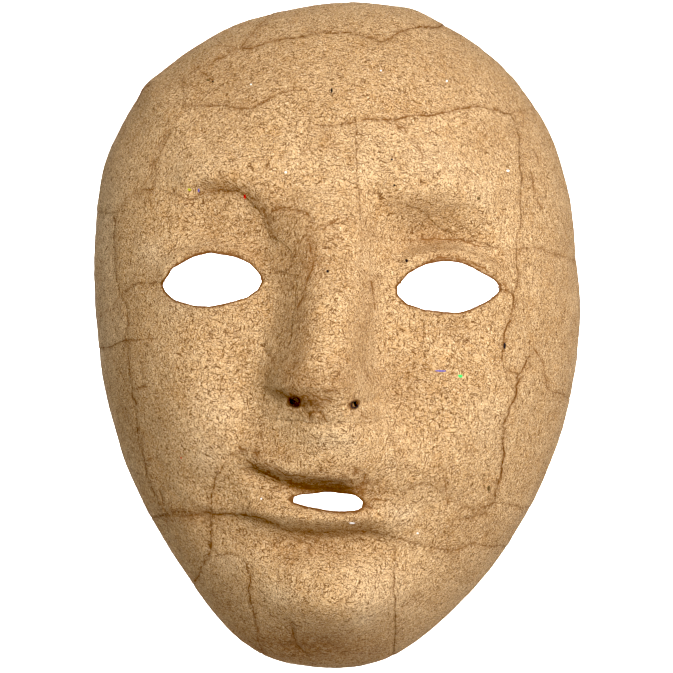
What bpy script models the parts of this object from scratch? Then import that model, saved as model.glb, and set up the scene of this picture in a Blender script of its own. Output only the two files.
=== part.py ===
"""Full-face papier-mache mask: a pressed paper core between torn outer sheets and an inner lining.

The mask stands upright and faces -Y. The flat back of its rim lies in the plane y = 0, +Z is up,
and x = 0 is the middle of the face. Outlines and relief are worked out in millimetres.
"""
import math

import bmesh
import bpy
from mathutils import Vector

MM = 0.001

# Layers of the wall, from the front surface inwards
SHEET_THICKNESS = 0.6
CORE_THICKNESS = 1.0
LINING_THICKNESS = 0.6
LAYER_GAP = 0.3
SEAM_GAP = 0.4

# Dome under the face: height above the rim plane, and how square its section is
DOME_HEIGHT = 50.0
DOME_FLATNESS = 2.8
DOME_ROUNDNESS = 1.8
RIM_FLARE = 1.01
SKIRT = 3.0

# Grid that is pulled into the shell
COLUMNS = 26
ROWS = 36
CENTRE_CROWDING = 0.3
EDGE_CROWDING = 0.15

# Distance from the origin to the rim, every 20 degrees from +X towards +Z
RIM_RADII = [82.6, 86.2, 96.5, 106.2, 111.0, 108.3, 104.2, 95.4, 83.1,
             76.7, 76.3, 80.9, 91.0, 107.1, 108.4, 96.5, 87.6, 82.8]

# Soft rises and hollows of the face: centre x, z, half-widths x, z, height, tilt in degrees
RELIEF = {
    "left brow": (-34, 53, 18, 7, 1.6, 6),
    "right brow": (33, 52, 21, 8, 3.4, -3),
    "between brows": (2, 46, 16, 11, 2.0, 0),
    "left socket": (-36, 34, 16, 9, -3.2, 4),
    "right socket": (32, 34, 18, 8, -6.0, -4),
    "left eyelids": (-40, 15, 17, 9, 3.0, 4),
    "right eyelids": (39, 15, 17, 9, 3.0, -4),
    "left inner corner": (-24, 22, 6, 10, -1.6, 0),
    "right inner corner": (21, 21, 7, 11, -2.0, 0),
    "left cheek": (-48, -14, 17, 26, 3.6, 8),
    "left lower cheek": (-38, -30, 15, 14, 2.4, 20),
    "right cheek": (48, -16, 20, 26, 2.6, -10),
    "left nostril fold": (-25, -27, 6, 13, -1.6, -20),
    "right nostril fold": (28, -27, 7, 14, -1.0, 30),
    "muzzle": (3, -38, 26, 12, 7.5, 0),
    "philtrum": (5, -29, 12, 8, 3.6, 0),
    "lower lip": (-2, -56.5, 24, 5, 3.0, 0),
    "left mouth corner": (-31, -53, 8, 6, -1.5, -20),
    "right mouth corner": (32, -54, 8, 6, -1.0, 20),
    "dip under lip": (-2, -67, 27, 5, -2.5, 0),
    "chin": (6, -89, 27, 15, 13.5, 0),
    "left wing": (-15, -14, 5.0, 5.5, 2.0, 0),
    "right wing": (14, -15, 5.0, 5.5, 1.5, 0),
    "left brow edge": (-35, 48.5, 16, 4.5, 1.4, 3),
    "right brow edge": (33, 48, 20, 6, 1.2, -2),
    "upper lip edge": (-6, -43, 18, 4, 2.0, 2),
    "mouth fold": (-3, -49, 15, 4, -2.6, 0),
    "lower lip edge": (-2, -57.5, 20, 3.5, 1.6, 0),
    "under lip": (-6, -63.5, 24, 4, -1.8, 0),
}

# Nose along z: height above the dome, half-widths to the left and right, sideways shift of its middle
NOSE = [(47, 0, 22, 9, 3), (38, 5.5, 20, 9.5, 2.5), (32, 7.5, 17.5, 10, 2.2), (25, 9.5, 15.4, 10.5, 2),
        (12, 13.5, 14, 11.5, 1.5), (0, 16.8, 15.2, 12, 0.5), (-10, 19, 16.8, 12.5, 0),
        (-16, 19, 17.5, 13, 0), (-20, 15.5, 17.5, 13.5, 0), (-23.5, 11.5, 17, 14, 0.5),
        (-27, 7, 16, 14, 1), (-34, 2.5, 15, 14, 2), (-46, 0, 15, 14, 2)]
NOSE_SQUARENESS = 3.0

# Openings: centre x, z and outline offsets, all the way round
LEFT_EYE = ((-38, 17), [(16.5, 0), (15.5, 2.3), (12.5, 5.2), (8, 7.2), (0, 8.4), (-6, 6.8), (-12, 3.2),
                        (-15.3, -1.8), (-14.3, -4), (-11, -6.7), (-5, -8.3), (0, -8.5), (5, -7.4),
                        (12, -5.3), (15.3, -2.8)])
RIGHT_EYE = ((38, 17), [(16.2, 0), (14.5, 2), (11, 3.8), (7, 6), (2, 7.6), (-3, 7.6), (-8, 6.5), (-13, 3.5),
                        (-16.8, -0.8), (-16.6, -3.4), (-13.5, -6), (-8, -7.7), (-1, -8.4), (3, -8.3),
                        (7, -7), (12, -4.5), (15, -2)])
MOUTH = ((1, -52.2), [(11.8, -0.8), (10.3, 0.9), (8.5, 2.4), (3, 2.6), (-1, 2.9), (-5, 2.2), (-9, 1.6),
                      (-11.8, 0.4), (-10.5, -0.7), (-7, -1.5), (-3, -2.1), (-1, -2.7), (5, -2.9),
                      (9.5, -2.6)])

# Nostrils: centre x, z and radius; they stop at the lining
NOSTRILS = {"left_nostril": (-10, -20.8, 1.5), "right_nostril": (8.6, -21.2, 1.1)}

# Torn edges between the outer sheets, in x and z; each end runs past the rim or the seam it meets
OUTER_SEAMS = {
    "crown": [(-17, 110), (-23, 103.5), (-28, 97.5), (-31.3, 92), (-25.5, 93), (-20, 95), (-12, 96.5),
              (-4, 98), (4, 98), (10, 96.7), (16, 95.5), (20, 98.5), (24.5, 101), (33, 102),
              (40, 106.5)],
    "left_edge": [(-30.3, 93), (-36.5, 89.5), (-44, 86), (-50, 82), (-48.5, 76), (-48.5, 71),
                  (-52, 66), (-54.5, 59), (-56.5, 52), (-57, 46), (-65, 44), (-69.5, 38), (-70, 30),
                  (-69.5, 20), (-67.5, 12), (-64.5, 8), (-64.3, -2), (-63.5, -12), (-62.5, -20),
                  (-61, -28), (-59.8, -36), (-58, -44), (-55.5, -52), (-51, -59.5)],
    "left_temple": [(-68.6, 38), (-85, 40)],
    "left_side": [(-82, -7), (-72, -5.5), (-68, -3.5), (-63.6, -3)],
    "forehead": [(-50, 73), (-43, 73), (-35, 73), (-28, 71.5), (-22, 74), (-17.5, 77.5), (-9, 78.5),
                 (-7.5, 66.5), (-1, 67), (5, 67.8), (12, 69.2), (19, 69.5), (26, 71), (33, 72),
                 (39, 73.5), (45, 75.3), (50, 74.5), (57, 73.5), (68, 77)],
    "bridge_right": [(7, 69), (7.3, 60), (7.5, 52), (8.5, 44), (9.3, 36), (10, 25), (11, 12),
                     (11.5, 0), (12, -7), (18, -16), (20, -25), (10, -26.5), (0, -27.5), (-10, -26.5),
                     (-20.8, -26)],
    "brow_left": [(-57.5, 47), (-50, 44), (-46, 42), (-41, 44.5), (-34, 45.8), (-28.5, 45),
                  (-24.5, 41), (-21.5, 37), (-19.8, 32), (-12, 27), (-10, 15), (-12, -2), (-18.5, -12),
                  (-20.3, -22), (-20, -31), (-21, -37.8)],
    "nose_top": [(-12.6, 26.6), (-7, 32.5), (0, 36), (4.5, 37), (10, 36.5)],
    "brow_right": [(8.6, 36.3), (14, 41), (20, 43.5), (28, 41), (34, 36), (40, 32.5), (48, 31),
                   (56, 29), (61, 30), (66, 30), (72, 28.5), (88, 26)],
    "right_edge": [(56.8, 74.2), (60, 66), (60, 60), (60.5, 50), (60.5, 42), (60, 36), (59, 29),
                   (59.8, 21), (58.5, 12), (57, 6), (55.8, 1), (55.3, -3), (55.8, -8.5), (61.3, -11),
                   (60, -18), (58.3, -22.5), (56.5, -27), (56.5, -31), (57, -36), (57, -41),
                   (55.5, -46), (55, -52.6)],
    "right_side": [(60.4, -12.2), (63.3, -7), (65.5, -2), (68, -4.5), (69.8, -9), (70.5, -15),
                   (84, -20)],
    "left_inner_eye": [(-24, 17.3), (-16, 20), (-10, 19)],
    "left_outer_eye": [(-51.5, 15.3), (-55, 16.5), (-58, 15), (-62.5, 15.5), (-68, 10.4)],
    "right_inner_eye": [(23, 16.5), (17, 19), (9.6, 20.6)],
    "right_outer_eye": [(52.5, 17), (56.5, 16.5), (59.6, 13.6)],
    "left_cheek": [(-20.2, -37), (-27, -37), (-31, -39.5), (-33.5, -44), (-35.2, -48), (-35.8, -53),
                   (-36, -58), (-36, -64), (-36, -69), (-38.5, -75), (-45, -88)],
    "upper_lip": [(-27.5, -36.4), (-24.5, -40.5), (-20, -42.8), (-15, -45), (-10, -46.8), (-4, -47.8),
                  (4, -47.6), (11, -47.3), (14, -45.5), (19, -48), (24, -49), (29, -46), (33, -45.7),
                  (40, -51), (48, -55), (55, -52), (80, -56)],
    "right_lip": [(19.8, -24), (21.5, -35), (23.5, -49.8)],
    "lower_lip": [(-64, -64), (-50, -58.5), (-46, -57.5), (-41, -58), (-36, -57.5), (-30, -57.3),
                  (-22, -57.6), (-17.5, -59.5), (-11, -61.8), (-2, -62.3), (5, -62), (12, -61.2),
                  (19, -62.2), (26, -64.5), (33, -66.5), (41, -67.7), (49, -65.5), (70, -69)],
    "chin_right": [(23, -62.6), (23, -73), (23.3, -84), (24, -92), (24.5, -112)],
    "chin_left": [(-36.8, -67.4), (-33, -71), (-27.5, -70.5), (-24.5, -73), (-23.3, -77), (-23, -84),
                  (-21.5, -91), (-17, -114)],
}

# One point on each outer sheet
OUTER_SHEETS = {
    "crown_sheet": (0, 105), "forehead_top_sheet": (0, 90), "forehead_left_sheet": (-25, 60),
    "forehead_right_sheet": (35, 60), "left_temple_sheet": (-65, 60), "right_temple_sheet": (69, 50),
    "left_brow_sheet": (-38, 32), "right_brow_sheet": (28, 33), "nose_sheet": (0, 0),
    "left_side_upper_sheet": (-72, 15), "left_side_lower_sheet": (-66, -25),
    "right_side_upper_sheet": (68, 12), "right_side_lower_sheet": (66, -35),
    "left_cheek_sheet": (-40, -15), "right_cheek_sheet": (38, -15), "upper_lip_sheet": (0, -38),
    "mouth_sheet": (-24, -50), "left_jaw_sheet": (-44, -66), "left_chin_sheet": (-31, -80),
    "middle_chin_sheet": (0, -85), "right_chin_sheet": (35, -78),
}

LINING_SEAMS = {
    "lining_brow": [(-95, 56), (-40, 50), (0, 54), (45, 48), (95, 58)],
    "lining_nose_left": [(-15, 54), (-14, 30), (-25, -20), (-21, -37)],
    "lining_nose_right": [(16, 54), (15, 30), (25, -20), (22, -37)],
    "lining_lip": [(-95, -40), (-45, -34), (0, -37), (40, -33), (95, -42)],
}
LINING_SHEETS = {
    "lining_forehead_sheet": (0, 80), "lining_nose_sheet": (0, 0), "lining_left_cheek_sheet": (-50, -10),
    "lining_right_cheek_sheet": (50, -10), "lining_chin_sheet": (0, -80),
}

KRAFT = (0.535, 0.330, 0.150)
PULP = (0.430, 0.270, 0.130)
LINING = (0.480, 0.300, 0.140)


def clear_scene():
    for item in list(bpy.data.objects):
        bpy.data.objects.remove(item, do_unlink=True)


def new_collection(name):
    collection = bpy.data.collections.new(name)
    bpy.context.scene.collection.children.link(collection)
    return collection


def move_to(item, collection):
    for owner in list(item.users_collection):
        owner.objects.unlink(item)
    collection.objects.link(item)


def smooth_step(t):
    t = min(max(t, 0.0), 1.0)
    return t * t * (3 - 2 * t)


def rim_radius(angle):
    """Distance from the origin to the rim: a smooth closed curve through RIM_RADII."""
    count = len(RIM_RADII)
    place = (angle / math.tau) % 1.0 * count
    first = int(place)
    t = place - first
    a, b, c, d = (RIM_RADII[(first + step) % count] for step in (-1, 0, 1, 2))
    return b + 0.5 * t * (c - a + t * (2 * a - 5 * b + 4 * c - d + t * (3 * (b - c) + d - a)))


def rise(x, z, shape):
    """One soft elliptical rise or hollow."""
    centre_x, centre_z, half_x, half_z, height, tilt = shape
    turn = math.radians(tilt)
    along = (x - centre_x) * math.cos(turn) + (z - centre_z) * math.sin(turn)
    across = (z - centre_z) * math.cos(turn) - (x - centre_x) * math.sin(turn)
    return height * math.exp(-(along / half_x) ** 2 - (across / half_z) ** 2)


def nose_at(z):
    """Height, left and right half-widths and shift of the nose at one level."""
    if z >= NOSE[0][0] or z <= NOSE[-1][0]:
        return 0.0, 10.0, 10.0, 0.0
    for upper, lower in zip(NOSE, NOSE[1:]):
        if z >= lower[0]:
            t = (upper[0] - z) / (upper[0] - lower[0])
            return tuple(a + (b - a) * t for a, b in zip(upper[1:], lower[1:]))
    return 0.0, 10.0, 10.0, 0.0


def face_height(x, z, rho):
    """Height of the front surface above the rim plane."""
    dome = DOME_HEIGHT * (1 - rho ** DOME_FLATNESS) ** (1 / DOME_ROUNDNESS)
    relief = sum(rise(x, z, shape) for shape in RELIEF.values())
    height, left, right, shift = nose_at(z)
    half_width = left if x < shift else right
    relief += height * math.exp(-(abs(x - shift) / half_width) ** NOSE_SQUARENESS)
    return dome + relief * (1 - smooth_step((rho - 0.75) / 0.25))


def surface_point(u, v):
    """Point of the front surface for a grid point with u and v from -1 to 1."""
    u -= CENTRE_CROWDING * math.sin(math.tau * u) / math.tau
    v *= 1 + EDGE_CROWDING * (1 - v * v)
    disc_x = u * math.sqrt(1 - v * v / 2)
    disc_z = v * math.sqrt(1 - u * u / 2)
    rho = math.hypot(disc_x, disc_z)
    angle = math.atan2(disc_z, disc_x)
    reach = rim_radius(angle)
    if rho > 0.9999:
        return Vector((reach * RIM_FLARE * math.cos(angle), SKIRT, reach * RIM_FLARE * math.sin(angle)))
    x = rho * reach * math.cos(angle)
    z = rho * reach * math.sin(angle)
    return Vector((x, -face_height(x, z, rho), z))


def face_surface():
    """The front surface as one open, triangulated sheet whose faces point outwards."""
    bpy.ops.mesh.primitive_grid_add(x_subdivisions=COLUMNS, y_subdivisions=ROWS, size=2)
    surface = bpy.context.object
    for vertex in surface.data.vertices:
        vertex.co = surface_point(vertex.co.x, vertex.co.y) * MM
    grid = bmesh.new()
    grid.from_mesh(surface.data)
    bmesh.ops.triangulate(grid, faces=grid.faces[:], quad_method='SHORT_EDGE')
    bmesh.ops.recalc_face_normals(grid, faces=grid.faces[:])
    grid.normal_update()
    middle = min(grid.faces, key=lambda face: face.calc_center_median().xz.length)
    if middle.normal.y > 0:
        bmesh.ops.reverse_faces(grid, faces=grid.faces[:])
    grid.to_mesh(surface.data)
    grid.free()
    return surface


def layer(surface, name, depth, thickness, collection):
    """A closed shell between two depths below the front surface."""
    shell = bpy.data.objects.new(name, surface.data.copy())
    collection.objects.link(shell)
    push = shell.modifiers.new("depth", 'DISPLACE')
    push.mid_level = 0
    push.strength = -depth * MM
    wall = shell.modifiers.new("wall", 'SOLIDIFY')
    wall.thickness = thickness * MM
    wall.offset = -1
    return shell


def prism(name, outline, collection):
    """A cutter that runs through the whole mask along Y."""
    cut = bmesh.new()
    front = [cut.verts.new(Vector((x, -100, z)) * MM) for x, z in outline]
    face = cut.faces.new(front)
    swept = bmesh.ops.extrude_face_region(cut, geom=[face])
    moved = [item for item in swept["geom"] if isinstance(item, bmesh.types.BMVert)]
    bmesh.ops.translate(cut, verts=moved, vec=Vector((0, 120, 0)) * MM)
    bmesh.ops.recalc_face_normals(cut, faces=cut.faces[:])
    return cutter_object(name, cut, collection)


def knife(name, line, collection):
    """A thin upright wall along a seam, which parts one sheet from the next."""
    cut = bmesh.new()
    points = [cut.verts.new(Vector((x, -100, z)) * MM) for x, z in line]
    edges = [cut.edges.new(pair) for pair in zip(points, points[1:])]
    swept = bmesh.ops.extrude_edge_only(cut, edges=edges)
    moved = [item for item in swept["geom"] if isinstance(item, bmesh.types.BMVert)]
    bmesh.ops.translate(cut, verts=moved, vec=Vector((0, 120, 0)) * MM)
    wall = cutter_object(name, cut, collection)
    thick = wall.modifiers.new("width", 'SOLIDIFY')
    thick.thickness = SEAM_GAP * MM
    thick.offset = 0
    thick.use_even_offset = True
    return wall


def cutter_object(name, shape, collection):
    mesh = bpy.data.meshes.new(name)
    shape.to_mesh(mesh)
    shape.free()
    cutter = bpy.data.objects.new(name, mesh)
    cutter.hide_render = True
    cutter.display_type = 'WIRE'
    collection.objects.link(cutter)
    return cutter


def make_cutters(collection):
    """Cutters for the through openings and the flat back of the rim, and for the nostrils."""
    cutters = []
    pricks = []
    for name, (centre, offsets) in {"left_eye": LEFT_EYE, "right_eye": RIGHT_EYE, "mouth": MOUTH}.items():
        outline = [(centre[0] + x, centre[1] + z) for x, z in offsets]
        cutters.append(prism(f"cut_{name}", outline, collection))
    for name, (x, z, radius) in NOSTRILS.items():
        turns = [math.tau * step / 8 for step in range(8)]
        outline = [(x + radius * math.cos(a), z + radius * math.sin(a)) for a in turns]
        pricks.append(prism(f"cut_{name}", outline, collection))
    bpy.ops.mesh.primitive_cube_add(size=300 * MM, location=(0, 150 * MM, 0))
    trim = bpy.context.object
    trim.name = "cut_rim_back"
    trim.hide_render = True
    trim.display_type = 'WIRE'
    move_to(trim, collection)
    return cutters + [trim], pricks


def cut_away(shell, cutters):
    for cutter in cutters:
        cut = shell.modifiers.new(cutter.name, 'BOOLEAN')
        cut.operation = 'DIFFERENCE'
        cut.solver = 'EXACT'
        cut.object = cutter


def apply_modifiers(item):
    graph = bpy.context.evaluated_depsgraph_get()
    mesh = bpy.data.meshes.new_from_object(item.evaluated_get(graph))
    item.modifiers.clear()
    item.data = mesh


def split_sheets(shell, seeds):
    """Separates a cut shell into its loose sheets and names each by a point that lies on it."""
    bpy.ops.object.select_all(action='DESELECT')
    shell.select_set(True)
    bpy.context.view_layer.objects.active = shell
    bpy.ops.mesh.separate(type='LOOSE')
    loose = list(bpy.context.selected_objects)
    named = []
    for name, (x, z) in seeds.items():
        start = Vector((x, -150, z)) * MM
        hit = [item for item in loose if item.ray_cast(start, Vector((0, 1, 0)))[0]]
        if len(hit) != 1:
            raise RuntimeError(f"{name} lies on {len(hit)} sheets")
        hit[0].name = name
        named.append(hit[0])
        loose.remove(hit[0])
    if loose:
        raise RuntimeError(f"{len(loose)} sheets have no name")
    return named


def finish(item, colour, roughness):
    """Gives a piece its own material and smooth shading."""
    material = bpy.data.materials.new(item.name)
    material.use_nodes = True
    shader = material.node_tree.nodes["Principled BSDF"]
    shader.inputs["Base Color"].default_value = (*colour, 1)
    shader.inputs["Roughness"].default_value = roughness
    shader.inputs["Metallic"].default_value = 0
    item.data.materials.clear()
    item.data.materials.append(material)
    item.data.shade_smooth()
    item.data.set_sharp_from_angle(angle=math.radians(40))


def shaded(colour, step):
    """A slightly lighter or darker paper for each sheet in turn."""
    factor = 1 + 0.05 * math.sin(2.4 * step)
    return tuple(channel * factor for channel in colour)


def build():
    clear_scene()
    parts = new_collection("papier_mache_mask")
    tools = new_collection("cutters")
    surface = face_surface()
    openings, nostrils = make_cutters(tools)

    outer = layer(surface, "outer_layer", 0, SHEET_THICKNESS, parts)
    seams = [knife(f"seam_{name}", line, tools) for name, line in OUTER_SEAMS.items()]
    cut_away(outer, openings + nostrils + seams)
    core_depth = SHEET_THICKNESS + LAYER_GAP
    core = layer(surface, "core_shell", core_depth, CORE_THICKNESS, parts)
    cut_away(core, openings + nostrils)
    lining_depth = core_depth + CORE_THICKNESS + LAYER_GAP
    lining = layer(surface, "lining_layer", lining_depth, LINING_THICKNESS, parts)
    seams = [knife(f"seam_{name}", line, tools) for name, line in LINING_SEAMS.items()]
    cut_away(lining, openings + seams)

    for shell in (outer, core, lining):
        apply_modifiers(shell)
    bpy.data.objects.remove(surface, do_unlink=True)
    finish(core, PULP, 0.95)
    for step, sheet in enumerate(split_sheets(outer, OUTER_SHEETS)):
        finish(sheet, shaded(KRAFT, step), 0.85)
    for step, sheet in enumerate(split_sheets(lining, LINING_SHEETS)):
        finish(sheet, shaded(LINING, step), 0.9)


build()
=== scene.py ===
import math

import bpy
import numpy as np
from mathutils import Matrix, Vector, kdtree


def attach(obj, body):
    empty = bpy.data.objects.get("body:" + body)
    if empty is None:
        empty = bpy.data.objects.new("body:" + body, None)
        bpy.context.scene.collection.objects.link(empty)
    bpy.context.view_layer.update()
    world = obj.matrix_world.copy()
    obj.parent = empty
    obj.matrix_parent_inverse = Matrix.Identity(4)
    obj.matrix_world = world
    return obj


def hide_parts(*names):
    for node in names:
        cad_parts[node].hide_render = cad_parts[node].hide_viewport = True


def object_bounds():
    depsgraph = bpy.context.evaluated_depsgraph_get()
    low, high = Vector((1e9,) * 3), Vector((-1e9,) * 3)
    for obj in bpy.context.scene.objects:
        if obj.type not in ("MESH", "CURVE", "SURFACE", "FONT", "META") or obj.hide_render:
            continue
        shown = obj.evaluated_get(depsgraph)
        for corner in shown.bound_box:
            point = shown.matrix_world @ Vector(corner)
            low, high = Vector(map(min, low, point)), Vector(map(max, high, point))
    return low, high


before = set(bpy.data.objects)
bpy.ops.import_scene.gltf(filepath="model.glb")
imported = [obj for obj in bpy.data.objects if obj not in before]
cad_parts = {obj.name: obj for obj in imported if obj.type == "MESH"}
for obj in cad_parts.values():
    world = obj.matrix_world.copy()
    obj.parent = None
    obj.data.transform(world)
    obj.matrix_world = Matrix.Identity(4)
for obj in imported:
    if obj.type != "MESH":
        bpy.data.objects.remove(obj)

CAD_LOW, CAD_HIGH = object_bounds()

# All shapes are worked out in millimetres, in the frame's axes: the face looks along -Y.
MM = 0.001

# ---------------------------------------------------------------- driving sizes
DOME_HEIGHT = 50.0
DOME_FLATNESS = 2.8
DOME_ROUNDNESS = 1.8
RIM_RADII = [82.6, 86.2, 96.5, 106.2, 111.0, 108.3, 104.2, 95.4, 83.1,
             76.7, 76.3, 80.9, 91.0, 107.1, 108.4, 96.5, 87.6, 82.8]
# Small corners of the rim: angle in degrees, height and reach in degrees
RIM_BUMPS = [(127.6, 1.3, 3.0), (77, 0.9, 3.5), (214, 0.5, 6), (16, -0.4, 5)]

# Grid points over the outer face, and over the core and the lining
COLUMNS, ROWS = 400, 520
INNER_COLUMNS, INNER_ROWS = 260, 340

# Thickness of a sheet, and levels of the core and of the lining's face, below the outer face
SHEET, THINNEST = 0.46, 0.08
CORE_TOP, CORE_BOTTOM = -0.60, -1.60
LINING_FACE = -2.2
# How far a sheet runs under its neighbour, lifts where it lies on one and dives where it goes under one
OVERLAP, OVERLAP_MARGIN, OVERLAP_FADE = 2.5, 0.5, 2.0
LIFT, LIFT_REACH = 0.13, 3.0
DIVE, DIVE_REACH = 0.12, 1.0
LAP_GAP = 0.06
TORN_REACH = 1.2
# Rounding of the cut edges, and how near an opening the walls turn straight forward
EDGE_ROUND, EDGE_REACH = 0.25, 0.9
STRAIGHT_REACH = 5.0

# Soft rises and hollows of the face: centre x, z, half-widths x, z, height, tilt in degrees
RELIEF = {
    "left brow": (-34, 53, 18, 7, 1.6, 6),
    "right brow": (33, 52, 21, 8, 3.4, -3),
    "between brows": (2, 46, 16, 11, 2.0, 0),
    "left socket": (-36, 34, 16, 9, -3.2, 4),
    "right socket": (32, 34, 18, 8, -6.0, -4),
    "left eyelids": (-40, 15, 17, 9, 3.0, 4),
    "right eyelids": (39, 15, 17, 9, 3.0, -4),
    "left inner corner": (-24, 22, 6, 10, -1.6, 0),
    "right inner corner": (21, 21, 7, 11, -2.0, 0),
    "left cheek": (-48, -14, 17, 26, 3.6, 8),
    "left lower cheek": (-38, -30, 15, 14, 2.4, 20),
    "right cheek": (48, -16, 20, 26, 2.6, -10),
    "left nostril fold": (-25, -27, 6, 13, -1.0, -20),
    "right nostril fold": (28, -27, 7, 14, -1.0, 30),
    "muzzle": (3, -38, 26, 12, 7.5, 0),
    "philtrum": (5, -29, 12, 8, 3.6, 0),
    "lower lip": (-2, -56.5, 24, 5, 3.0, 0),
    "left mouth corner": (-31, -53, 8, 6, -1.5, -20),
    "right mouth corner": (32, -54, 8, 6, -1.0, 20),
    "dip under lip": (-2, -67, 27, 5, -2.5, 0),
    "chin": (6, -89, 27, 15, 13.5, 0),
    "left wing": (-15, -14, 5.0, 5.5, 2.0, 0),
    "right wing": (14, -15, 5.0, 5.5, 1.5, 0),
}

# Nose along z: height above the dome, half-widths to the left and right, sideways shift of its middle
NOSE = np.array([(-46, 0.0, 15.0, 14.0, 2.0), (-34, 2.5, 15.0, 14.0, 2.0), (-27, 7.0, 16.0, 14.0, 1.0),
                 (-23.5, 11.5, 17.0, 14.0, 0.5), (-20, 15.5, 17.5, 13.5, 0.0), (-16, 19.0, 17.5, 13.0, 0.0),
                 (-10, 19.0, 16.8, 12.5, 0.0), (0, 16.8, 15.2, 12.0, 0.5), (12, 13.5, 14.0, 11.5, 1.5),
                 (25, 9.5, 15.4, 10.5, 2.0), (32, 7.5, 17.5, 10.0, 2.2), (38, 5.5, 20.0, 9.5, 2.5),
                 (47, 0.0, 22.0, 9.0, 3.0)])
NOSE_SQUARENESS = 3.0
# Share of the way to the rim up to which the relief is whole, and the length over which folds fade out
RELIEF_WHOLE = 0.75
FOLD_FADE = 7.0

# Ridges and valleys along a line: height, reach above it, reach below it, and its points from left to right
FOLDS = [
    # brows and lids
    (1.5, 7, 4.0, [(-52, 45), (-45, 48), (-37, 49), (-30, 48), (-24, 44.5), (-19, 38)]),
    (-1.3, 2.6, 7, [(-50, 42), (-43, 45.5), (-35, 46), (-28, 44), (-23, 38.5), (-20, 31), (-19, 24)]),
    (1.4, 8, 6, [(12, 44), (22, 45.5), (32, 46.5), (42, 46.5), (56, 42)]),
    (-2.0, 4, 2.2, [(18, 28), (26, 30.5), (34, 31.6), (41, 31.4), (48, 29.4), (54, 26)]),
    (1.6, 1.8, 2.4, [(20, 20), (26, 25.6), (34, 28.2), (43, 27.4), (50, 24.3), (57, 19)]),
    (1.4, 2.0, 2.4, [(-57, 16), (-49, 23.6), (-39, 27.4), (-29, 26), (-21, 20)]),
    # mouth
    (2.4, 5, 1.8, [(-28, -40), (-18, -42), (-8, -43.4), (4, -43.8), (13, -44.5)]),
    (-3.4, 2.4, 4.5, [(-27, -40), (-21, -43.4), (-15, -46.2), (-10, -48.2), (-5, -49.2), (3, -49.2),
        (10, -49.8)]),
    (1.8, 2.2, 2.4, [(-28, -55), (-15, -56.8), (-5, -57.8), (5, -58), (14, -57.2), (24, -59)]),
    (-2.0, 2.2, 6.0, [(-44, -59), (-36, -58.5), (-28, -59), (-22, -60), (-15, -62.5), (-5, -64), (6, -64),
        (14, -63.5), (24, -65)]),
    # nose
    (-2.0, 1.0, 3.0, [(-22, -16), (-17, -19.2), (-12, -20.2), (-7, -21.4), (-3, -22.4)]),
    (-0.9, 1.0, 2.0, [(5, -21.4), (9, -21), (13, -20), (18, -18)]),
    (0.45, 0.5, 0.5, [(-6, -17.4), (-4, -18.4), (-1, -19)]),
    (0.35, 0.4, 0.5, [(-2, -16.3), (1, -17.2), (4, -16.8)]),
    (0.4, 0.5, 0.4, [(-7, -19.4), (-4, -20.2), (-1, -20.2)]),
    (0.3, 0.4, 0.4, [(1, -18.4), (4, -18.6), (7, -17.9)]),
    (-0.5, 0.5, 0.5, [(-6, -23.6), (-3, -23.4), (1, -24.2)]),
    (-0.4, 0.4, 0.5, [(-5, -21.4), (-2.5, -23.2), (-1, -26)]),
    (-0.4, 0.4, 0.5, [(-8, -22), (-5.5, -24.5), (-4.4, -28)]),
    (-0.4, 0.5, 0.4, [(0, -21.6), (2, -23.4), (2.6, -25.6)]),
    # corners of the mouth
    (-0.5, 0.5, 0.5, [(11, -49), (13, -46.5), (15.5, -44)]),
    (-0.4, 0.5, 0.5, [(3, -40), (7, -41), (10.5, -44.5)]),
    (-0.5, 0.4, 0.6, [(12.5, -53.2), (15, -54.2), (18, -53.6)]),
    (0.4, 0.5, 0.5, [(7, -58.8), (10.5, -58.2), (14, -59.4)]),
    # eyes and nose root
    (0.6, 0.7, 0.5, [(53, 19.6), (55.5, 18.6), (57, 16.8), (55.6, 14.6), (53, 13.4)]),
    (-0.5, 0.6, 0.6, [(-21, -2), (-19.6, -6.4), (-17.2, -7.6)]),
    (-0.35, 0.7, 0.7, [(-20, 39.4), (-11, 39.8), (-7.6, 37), (-7.6, 31)]),
    # cheek, jaw and chin
    (0.4, 2.0, 3.0, [(24, -34), (33, -42), (42, -46), (52, -47)]),
    (0.5, 2.5, 2.0, [(-52, -46), (-45, -52), (-38, -54)]),
    (-0.5, 2.0, 2.0, [(-24, -74), (-20, -84), (-17, -92)]),
]

# Openings: centre and outline offsets, anticlockwise; the nostrils don't go through the lining
HOLES = {
    "left_eye": ((-38, 17), [(16.5, 0), (15.5, 2.3), (12.5, 5.2), (8, 7.2), (0, 8.4), (-6, 6.8), (-12, 3.2),
        (-15.3, -1.8), (-14.3, -4), (-11, -6.7), (-5, -8.3), (0, -8.5), (5, -7.4), (12, -5.3),
        (15.3, -2.8)]),
    "right_eye": ((38, 17), [(16.2, 0), (14.5, 2), (11, 3.8), (7, 6), (2, 7.6), (-3, 7.6), (-8, 6.5),
        (-13, 3.5), (-16.8, -0.8), (-16.6, -3.4), (-13.5, -6), (-8, -7.7), (-1, -8.4), (3, -8.3), (7, -7),
        (12, -4.5), (15, -2)]),
    "mouth": ((1, -52.2), [(11.8, -0.8), (10.3, 0.9), (8.5, 2.4), (3, 2.6), (-1, 2.9), (-5, 2.2), (-9, 1.6),
        (-11.8, 0.4), (-10.5, -0.7), (-7, -1.5), (-3, -2.1), (-1, -2.7), (5, -2.9), (9.5, -2.6)]),
    "left_nostril": ((-10, -20.8), [(1.6, -0.8), (1.2, 0.8), (0.2, 1.5), (-1.3, 1.3), (-1.8, 0.1),
        (-1.2, -1.1), (0.4, -1.5)]),
    "right_nostril": ((8.6, -21.2), [(1.3, 0.8), (0.3, 1.0), (-1.1, 0.2), (-1.2, -0.7), (0.4, -0.8)]),
}
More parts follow.
